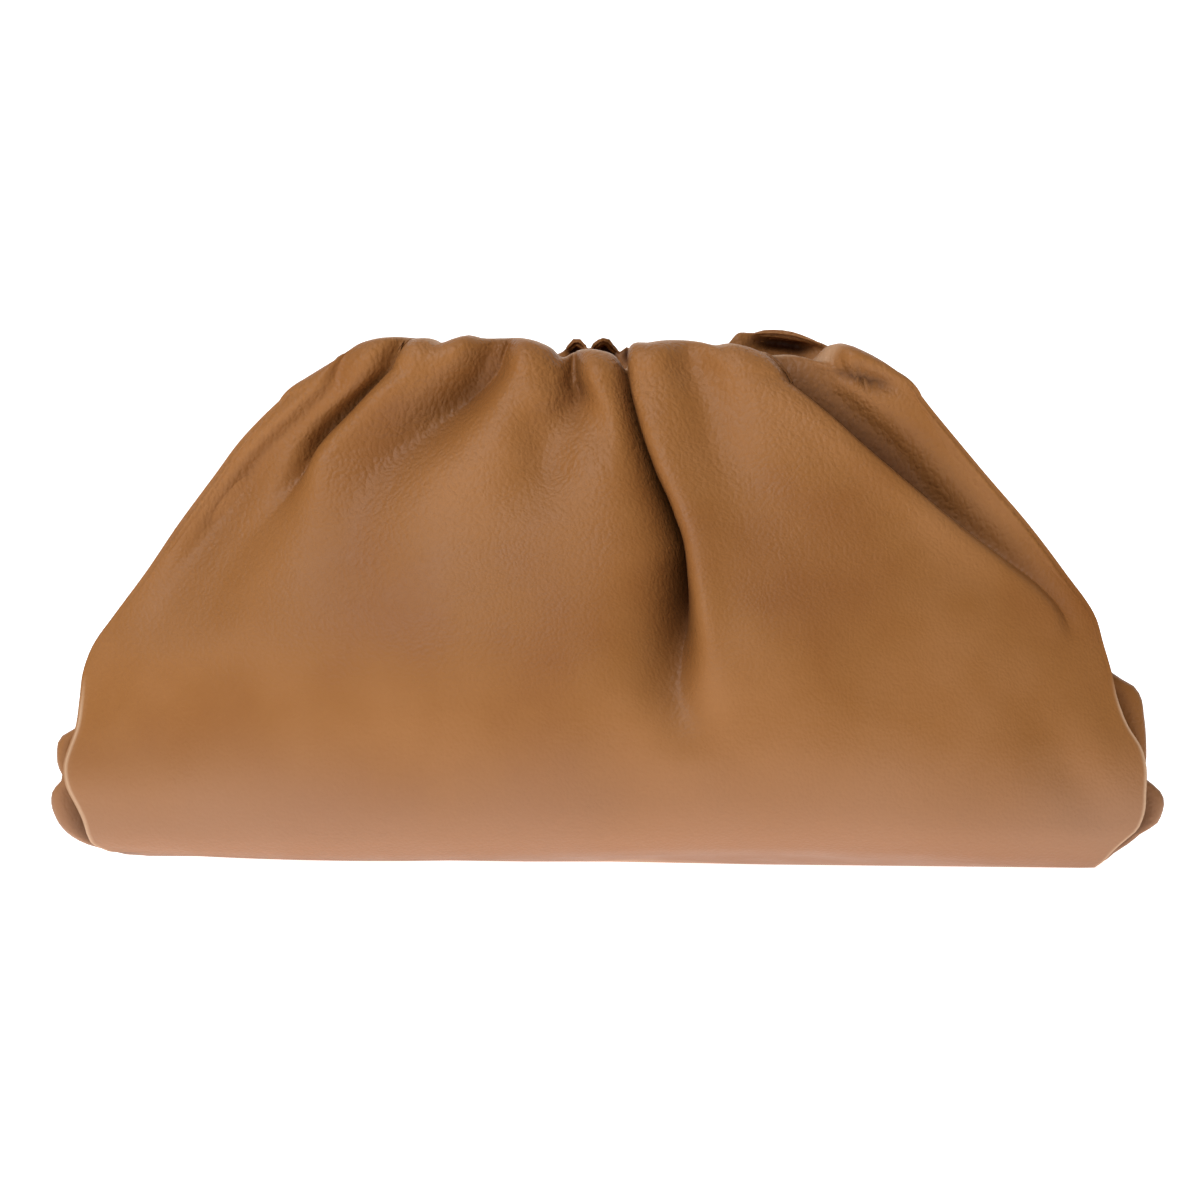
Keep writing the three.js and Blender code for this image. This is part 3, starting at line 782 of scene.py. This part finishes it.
# %% [markdown]
# ## Painted shade, painted highlights and thin creases
# Three values per point come from the folds. The first, "crease", paints shade into the leather's colour
# where it is folded together. The second paints a thin highlight, a pale line where light catches the low
# folded edges and the top of the lip. The third thins the leather in tight creases, from 2 mm to 1 mm.

# %% Values on the points
# Width, top and fade of the painted highlight along the front's low folded edges and the lip's top.
HIGHLIGHT_WIDTH = 0.6
HIGHLIGHT_TOP, HIGHLIGHT_FADE = 66, 12
LIP_HIGHLIGHT = 0.6
SHOULDER_DARK = 0.75
CREASE_THINNING = 0.5
THINNING_GAIN = 1.5
ROLL_FADE = np.linspace(1, 0.4, ROLL_ROWS)[:, None]
on_roll = slice(WALL_ROWS + 1, WALL_ROWS + 1 + ROLL_ROWS)


def with_roll(rows):
    """A value given on the wall, carried over the lip while it fades, and none on the hem."""
    return np.concatenate([rows, rows[-1:] * ROLL_FADE, np.zeros((HEM_ROWS, loop_columns))])


# Painted shade: a darker colour in the folds' creases, the ends' grooves, the lip's tunnels and the
# shoulder's crease.
def crease_values():
    values = with_roll(loop(front["shade"], right_end["shade"], back["shade"], left_end["shade"]))
    values[on_roll] = np.maximum(values[on_roll], tunnel_shade)
    values[:, in_front] = np.maximum(values[:, in_front], SHOULDER_DARK * shoulder_shade)
    return values


# Painted highlight: 1 at the front panel's folded edges, fading out upwards, and a weaker pale line along
# the top of the front lip.
def edge_highlight_values():
    edge = np.zeros((WALL_ROWS + 1, loop_columns))
    left_gap = front["x"] - left_end["x"][:, -1:]
    right_gap = right_end["x"][:, :1] - front["x"]
    edge[:, in_front] = np.exp(-((np.minimum(left_gap, right_gap) / HIGHLIGHT_WIDTH) ** 2))
    edge[:, front_columns] = 1
    values = with_roll(edge * np.clip((HIGHLIGHT_TOP - wall[:, :, 2]) / HIGHLIGHT_FADE, 0, 1))
    values[on_roll, in_front] = LIP_HIGHLIGHT * np.exp(-((below_top[:, in_front] / HIGHLIGHT_WIDTH) ** 2))
    return values


def give_values(name, rows):
    attribute = bag.data.attributes.new(name, "FLOAT", "POINT")
    attribute.data.foreach_set("value", per_point(rows))


give_values("crease", crease_values())
give_values("edge_highlight", edge_highlight_values())
thickness_group = bag.vertex_groups.new(name="leather_thickness")
pinch_rows = with_roll(loop(front["pinch"], right_end["shade"], back["pinch"], left_end["shade"]))
for vertex, pinch in zip(bag.data.vertices, per_point(pinch_rows)):
    thinned = CREASE_THINNING * min(1, THINNING_GAIN * float(pinch))
    thickness_group.add([vertex.index], 1 - thinned, "REPLACE")
print("values on the points", [item.name for item in bag.data.attributes])

# %% [markdown]
# ## Close it and give it thickness
# The first and last columns are merged, and the underside is filled by drawing its edge in, ring by ring,
# to one point. Then the leather gets its thickness inwards, so its outside stays where the tables put it.

# %% Merge, fill and thicken
LEATHER = 2
UNDERSIDE_RINGS = 5
MERGE_DISTANCE = 0.01


def merge_seam():
    bpy.ops.object.mode_set(mode="EDIT")
    bpy.ops.mesh.select_mode(type="VERT")
    bpy.ops.mesh.select_all(action="SELECT")
    bpy.ops.mesh.remove_doubles(threshold=MERGE_DISTANCE * MM)
    bpy.ops.mesh.select_all(action="DESELECT")
    bpy.ops.object.mode_set(mode="OBJECT")


def fill_underside():
    """Draws the lowest row in to one point. The first ring stays level, the next sink to the ground."""
    for vertex in bag.data.vertices:
        vertex.select = vertex.index < loop_columns
    bpy.ops.object.mode_set(mode="EDIT")
    for ring in range(UNDERSIDE_RINGS):
        bpy.ops.mesh.extrude_region_move()
        size = 1 - 1 / (UNDERSIDE_RINGS + 1 - ring)
        bpy.ops.transform.resize(value=(size, size, size if ring else 1), center_override=(0, 0, 0))
    bpy.ops.mesh.merge(type="CENTER")
    bpy.ops.mesh.select_all(action="SELECT")
    bpy.ops.mesh.normals_make_consistent(inside=False)
    bpy.ops.object.mode_set(mode="OBJECT")


def thicken():
    thickness = bag.modifiers.new("leather", "SOLIDIFY")
    thickness.thickness = LEATHER * MM
    thickness.offset = -1
    thickness.vertex_group = thickness_group.name
    bpy.ops.object.modifier_apply(modifier=thickness.name)
    bpy.ops.object.shade_smooth()


merge_seam()
fill_underside()
thicken()
print("leather", len(bag.data.vertices), "points,", len(bag.data.polygons), "faces")

# %% [markdown]
# ## Small helpers for materials
# Every material here is made of nodes only, with no image. These helpers each add one node and join it
# up, so that a material further down reads as a list of what it is made of.

# %% Node helpers
def new_material(name):
    material = bpy.data.materials.new(name)
    material.use_nodes = True
    return material, material.node_tree.nodes, material.node_tree.links


def point_value(nodes, name):
    node = nodes.new("ShaderNodeAttribute")
    node.attribute_name = name
    return node.outputs["Fac"]


def ramp(nodes, links, factor, stops):
    node = nodes.new("ShaderNodeValToRGB")
    while len(node.color_ramp.elements) < len(stops):
        node.color_ramp.elements.new(0.5)
    for element, (position, colour) in zip(node.color_ramp.elements, stops):
        element.position = position
        element.color = colour
    links.new(factor, node.inputs["Fac"])
    return node.outputs["Color"]


def greys(dark, light):
    """Ramp stops for a value between dark and light."""
    return [(0.3, (dark, dark, dark, 1)), (0.7, (light, light, light, 1))]


def noise(nodes, links, coordinates, scale, detail, roughness):
    node = nodes.new("ShaderNodeTexNoise")
    node.inputs["Scale"].default_value = scale
    node.inputs["Detail"].default_value = detail
    node.inputs["Roughness"].default_value = roughness
    links.new(coordinates, node.inputs["Vector"])
    return node


def maths(nodes, links, operation, first, second):
    """The result of a sum on two numbers or sockets."""
    node = nodes.new("ShaderNodeMath")
    node.operation = operation
    for socket, value in zip(node.inputs, (first, second)):
        if isinstance(value, (int, float)):
            socket.default_value = value
        else:
            links.new(value, socket)
    return node.outputs[0]


def share_between(nodes, links, value, start, stop, kind="LINEAR"):
    """0 where the value is at start, 1 where it is at stop."""
    node = nodes.new("ShaderNodeMapRange")
    node.interpolation_type = kind
    node.inputs["From Min"].default_value = start
    node.inputs["From Max"].default_value = stop
    links.new(value, node.inputs["Value"])
    return node.outputs["Result"]


def lay_over(nodes, links, base, colour, factor, blend="MIX"):
    """A base colour with another colour laid over it by a factor."""
    node = nodes.new("ShaderNodeMix")
    node.data_type = "RGBA"
    node.blend_type = blend
    node.inputs["B"].default_value = colour
    links.new(factor, node.inputs["Factor"])
    links.new(base, node.inputs["A"])
    return node.outputs["Result"]


def bump(nodes, links, height, strength, distance, below=None):
    node = nodes.new("ShaderNodeBump")
    node.inputs["Strength"].default_value = strength
    node.inputs["Distance"].default_value = distance
    links.new(height, node.inputs["Height"])
    if below is not None:
        links.new(below, node.inputs["Normal"])
    return node.outputs["Normal"]


print("node helpers ready")

# %% [markdown]
# ## The leather's colour
# The real leather is smooth calf: warm tan, with soft patches that are a little lighter or deeper.
# Towards the ground it is paler and pinker, because the white floor lights it and is reflected in it. The
# floor's own light gives a part of that, and a painted reflection of the floor, low down, gives the rest.
# Creases get a painted shade, and the low folded edges and the lip's top a painted highlight, by the values
# on the points.

# %% Colour of the leather
LEATHER_LIGHT = (0.330, 0.141, 0.044, 1)
LEATHER_MID = (0.290, 0.117, 0.030, 1)
LEATHER_DEEP = (0.255, 0.095, 0.023, 1)
PATCH_SCALE = 15
FOLD_SHADE = (0.16, 0.1, 0.06, 1)
FOLD_SHADE_POWER = 1.3
# Painted highlight, a pale line where light catches the folded edges and the lip's top.
PAINTED_HIGHLIGHT = (0.6, 0.4, 0.26, 1)
PAINTED_HIGHLIGHT_SHARE = 0.7
# Painted reflection of the white floor: a paler, pinker colour low down on the leather.
PAINTED_FLOOR_REFLECTION = (0.325, 0.166, 0.09, 1)
FLOOR_REFLECTION_FROM, FLOOR_REFLECTION_TO = 0.07, 0.012
FLOOR_REFLECTION_UNEVEN = 0.028


def leather_colour(nodes, links, coordinates, crease, height):
    patches = noise(nodes, links, coordinates, PATCH_SCALE, 3, 0.5)
    stops = [(0.32, LEATHER_DEEP), (0.5, LEATHER_MID), (0.7, LEATHER_LIGHT)]
    colour = ramp(nodes, links, patches.outputs["Fac"], stops)
    # Painted reflection of the white floor, laid on towards the ground with an uneven upper edge.
    uneven = noise(nodes, links, coordinates, 11, 2, 0.5)
    uneven = maths(nodes, links, "MULTIPLY", uneven.outputs["Fac"], FLOOR_REFLECTION_UNEVEN)
    level = maths(nodes, links, "ADD", height, uneven)
    floor_reflection = share_between(nodes, links, level, FLOOR_REFLECTION_FROM, FLOOR_REFLECTION_TO, "SMOOTHSTEP")
    colour = lay_over(nodes, links, colour, PAINTED_FLOOR_REFLECTION, floor_reflection)
    # Painted shade in the creases, grooves and tunnels.
    folded = maths(nodes, links, "POWER", crease, FOLD_SHADE_POWER)
    colour = lay_over(nodes, links, colour, FOLD_SHADE, folded, "MULTIPLY")
    # Painted highlight on the low folded edges and along the lip's top.
    highlighted = maths(nodes, links, "MULTIPLY", point_value(nodes, "edge_highlight"), PAINTED_HIGHLIGHT_SHARE)
    return lay_over(nodes, links, colour, PAINTED_HIGHLIGHT, highlighted)


print("leather from", LEATHER_DEEP[:3], "to", LEATHER_LIGHT[:3])

# %% [markdown]
# ## Grain and crinkles
# A fine grain covers all of the leather. Small crinkles lie where it is gathered and beside the creases.
# Both are bump, because they are far finer than the mesh. They read Object coordinates, so they stay on
# the leather from every side.

# %% Surface of the leather
CRINKLE_SCALE, CRINKLE_STRETCH, CRINKLE_TURN = 600, 0.7, 0.5
CRINKLE_BUMP, CRINKLE_HEIGHT = 0.5, 0.0008
GRAIN_SCALE = 800
GRAIN_BUMP, GRAIN_HEIGHT = 0.35, 0.0004
CELL_WANDER = 0.0035
GATHERED_FROM, GATHERED_TO = 0.085, 0.165
GATHERED_CRINKLES = 1.5
CREASE_CRINKLES = 1.6
GLOSS = greys(0.46, 0.58)
SPECULAR = 0.25


def cells(nodes, links, coordinates, scale, stretch, turn):
    """Small flat cells with rounded gaps between them, drawn out along the pull of the leather."""
    mapping = nodes.new("ShaderNodeMapping")
    mapping.inputs["Scale"].default_value = (1, 1, stretch)
    mapping.inputs["Rotation"].default_value = (0, turn, 0)
    links.new(coordinates, mapping.inputs["Vector"])
    wander = noise(nodes, links, coordinates, 90, 2, 0.5)
    shift = nodes.new("ShaderNodeVectorMath")
    shift.operation = "MULTIPLY_ADD"
    shift.inputs[1].default_value = (CELL_WANDER, CELL_WANDER, CELL_WANDER)
    links.new(wander.outputs["Color"], shift.inputs[0])
    links.new(mapping.outputs["Vector"], shift.inputs[2])
    cell = nodes.new("ShaderNodeTexVoronoi")
    cell.inputs["Scale"].default_value = scale
    links.new(shift.outputs["Vector"], cell.inputs["Vector"])
    return maths(nodes, links, "SUBTRACT", 1.0, cell.outputs["Distance"])


def crinkle_mask(nodes, links, coordinates, crease, height):
    """1 where the leather crinkles: in spots near the lip, and on both sides of a crease."""
    spots = noise(nodes, links, coordinates, 30, 3, 0.55)
    gathered = share_between(nodes, links, height, GATHERED_FROM, GATHERED_TO)
    spots = maths(nodes, links, "MULTIPLY", spots.outputs["Fac"], GATHERED_CRINKLES)
    spots = maths(nodes, links, "MULTIPLY", spots, gathered)
    beside = maths(nodes, links, "MULTIPLY", maths(nodes, links, "SUBTRACT", 1.0, crease), crease)
    beside = maths(nodes, links, "MULTIPLY", beside, CREASE_CRINKLES)
    mask = maths(nodes, links, "ADD", spots, beside)
    mask.node.use_clamp = True
    return mask


def leather_normal(nodes, links, coordinates, crease, height):
    mask = crinkle_mask(nodes, links, coordinates, crease, height)
    crinkles = cells(nodes, links, coordinates, CRINKLE_SCALE, CRINKLE_STRETCH, CRINKLE_TURN)
    crinkles = maths(nodes, links, "MULTIPLY", crinkles, mask)
    grain = cells(nodes, links, coordinates, GRAIN_SCALE, 1.0, 0.0)
    normal = bump(nodes, links, crinkles, CRINKLE_BUMP, CRINKLE_HEIGHT)
    return bump(nodes, links, grain, GRAIN_BUMP, GRAIN_HEIGHT, normal)


def leather_material():
    material, nodes, links = new_material("tan_calf_leather")
    shader = nodes["Principled BSDF"]
    coordinates = nodes.new("ShaderNodeTexCoord").outputs["Object"]
    split = nodes.new("ShaderNodeSeparateXYZ")
    links.new(coordinates, split.inputs["Vector"])
    where = (coordinates, point_value(nodes, "crease"), split.outputs["Z"])
    links.new(leather_colour(nodes, links, *where), shader.inputs["Base Color"])
    satin = noise(nodes, links, coordinates, 60, 4, 0.6)
    links.new(ramp(nodes, links, satin.outputs["Fac"], GLOSS), shader.inputs["Roughness"])
    links.new(leather_normal(nodes, links, *where), shader.inputs["Normal"])
    shader.inputs["Specular IOR Level"].default_value = SPECULAR
    return material


bag.data.materials.clear()
bag.data.materials.append(leather_material())
print("leather material on", bag.name)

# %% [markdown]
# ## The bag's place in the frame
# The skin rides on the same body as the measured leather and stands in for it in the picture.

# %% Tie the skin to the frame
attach(bag, "root")
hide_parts("leather_body")
print("tied", bag.name)

# %% [markdown]
# ## The hidden frame
# The closure frame stands inside the lip, out of sight. It keeps its measured solid and gets a plain
# brushed steel.

# %% Frame material
STEEL = (0.5, 0.5, 0.51, 1)


def steel_material():
    material, nodes, links = new_material("frame_steel")
    shader = nodes["Principled BSDF"]
    shader.inputs["Base Color"].default_value = STEEL
    shader.inputs["Metallic"].default_value = 1.0
    coordinates = nodes.new("ShaderNodeTexCoord").outputs["Object"]
    mapping = nodes.new("ShaderNodeMapping")
    mapping.inputs["Scale"].default_value = (0.02, 1, 1)
    links.new(coordinates, mapping.inputs["Vector"])
    streaks = noise(nodes, links, mapping.outputs["Vector"], 3000, 2, 0.5)
    links.new(ramp(nodes, links, streaks.outputs["Fac"], greys(0.28, 0.42)), shader.inputs["Roughness"])
    return material


frame_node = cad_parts["closure_frame"]
frame_node.data.materials.clear()
frame_node.data.materials.append(steel_material())
print("steel on", frame_node.name)

# %% [markdown]
# ## Floor and backdrop
# The photo shows the bag on a white ground before white. Both planes shine a little by themselves, so
# they stay white, and the floor also throws light back up under the belly.

# %% White surroundings
STAGE_SIZE = 8
FLOOR_LEVEL = -0.0002
FLOOR_WHITE, FLOOR_GLOW = 0.9, 0.95
BACKDROP_WHITE, BACKDROP_GLOW = 0.5, 1.0


def glowing(name, white, glow):
    """A plain matt white that also shines a little, like a lit table."""
    material, nodes, links = new_material(name)
    shader = nodes["Principled BSDF"]
    shader.inputs["Base Color"].default_value = (white, white, white, 1)
    shader.inputs["Roughness"].default_value = 1.0
    shader.inputs["Emission Color"].default_value = (1, 1, 1, 1)
    shader.inputs["Emission Strength"].default_value = glow
    return material


def stage_plane(name, place, turn, material):
    deselect_all()
    bpy.ops.mesh.primitive_plane_add(size=STAGE_SIZE, location=place, rotation=turn)
    plane = bpy.context.active_object
    plane.name = name
    plane.data.materials.append(material)
    return plane


lit_floor = glowing("pale_floor", FLOOR_WHITE, FLOOR_GLOW)
floor = stage_plane("floor", (0, 0, FLOOR_LEVEL), (0, 0, 0), lit_floor)
lit_backdrop = glowing("white_backdrop", BACKDROP_WHITE, BACKDROP_GLOW)
backdrop = stage_plane("backdrop", (0, 3.5, 3), (math.pi / 2, 0, 0), lit_backdrop)
print("floor and backdrop ready")

# %% [markdown]
# ## Light
# Light comes from all round and a little more from above and from the left, through one large soft box. A
# weaker one in front keeps the folds from going black.

# %% Soft boxes
WORLD_LIGHT = 0.12
world = bpy.context.scene.world or bpy.data.worlds.new("world")
bpy.context.scene.world = world
world.use_nodes = True
world.node_tree.nodes["Background"].inputs["Color"].default_value = (1, 1, 1, 1)
world.node_tree.nodes["Background"].inputs["Strength"].default_value = WORLD_LIGHT
LIT_POINT = (0, 0, 0.08)


def aim(direction):
    """Rotation that points an object's -Z along a direction."""
    x, y, z = direction / np.linalg.norm(direction)
    return (math.acos(-z), 0, math.atan2(-x, y))


def soft_light(name, place, size, power):
    deselect_all()
    bpy.ops.object.light_add(type="AREA", location=place)
    light = bpy.context.active_object
    light.name = name
    light.data.size = size
    light.data.energy = power
    light.rotation_euler = aim(np.array(LIT_POINT) - np.array(place))


soft_light("key_softbox", (-0.5, -0.9, 1.5), 0.9, 21)
soft_light("front_softbox", (-0.9, -2.0, 0.9), 0.8, 4)
print("lights ready")

# %% [markdown]
# ## Camera
# The photo was taken almost level, through a long lens. PHOTO_WIDTH is how much of the bag's plane the
# picture spans.

# %% Camera
PHOTO_WIDTH = 410.4
LENS_DISTANCE = 2400
ELEVATION = 1.5
LOOK_AT = (-2.6, 0, 90)
SENSOR = 36
deselect_all()
bpy.ops.object.camera_add()
camera = bpy.context.active_object
tilt = math.radians(ELEVATION)
camera.location = (
    LOOK_AT[0] * MM,
    -LENS_DISTANCE * math.cos(tilt) * MM,
    (LOOK_AT[2] + LENS_DISTANCE * math.sin(tilt)) * MM,
)
camera.rotation_euler = (math.pi / 2 - tilt, 0, 0)
camera.data.sensor_width = SENSOR
camera.data.lens = SENSOR * LENS_DISTANCE / PHOTO_WIDTH
bpy.context.scene.camera = camera
bpy.context.scene.view_settings.view_transform = "Standard"
print("camera at", [round(v, 3) for v in camera.location], "lens", round(camera.data.lens), "mm")
